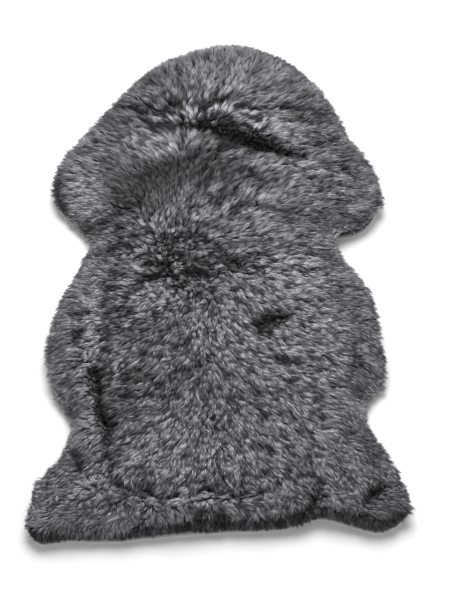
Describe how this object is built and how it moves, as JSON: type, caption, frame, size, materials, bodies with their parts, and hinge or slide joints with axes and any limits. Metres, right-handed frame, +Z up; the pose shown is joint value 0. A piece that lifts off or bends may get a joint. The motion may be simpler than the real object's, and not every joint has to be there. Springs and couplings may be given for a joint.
{
  "type": "sheepskin rug",
  "caption": "Whole sheepskin rug lying flat: a thin tanned hide cut to the pelt's outline, with a deep wool fleece that bulges past its edge.",
  "frame": {"origin": "on the floor, at the middle of the rug's bounding box", "axes": "+Y along the pelt from the hind legs to the neck, +Z up out of the wool, +X to the right as seen from the hem"},
  "size_m": [0.6092, 0.9614, 0.0523],
  "materials": {
    "leather": "pale undyed suede, matt",
    "wool": "dense grey dyed wool pile, matt with a soft sheen"
  },
  "bodies": {
    "root": {"hide": "leather", "fleece": "wool"}
  },
  "joints": []
}
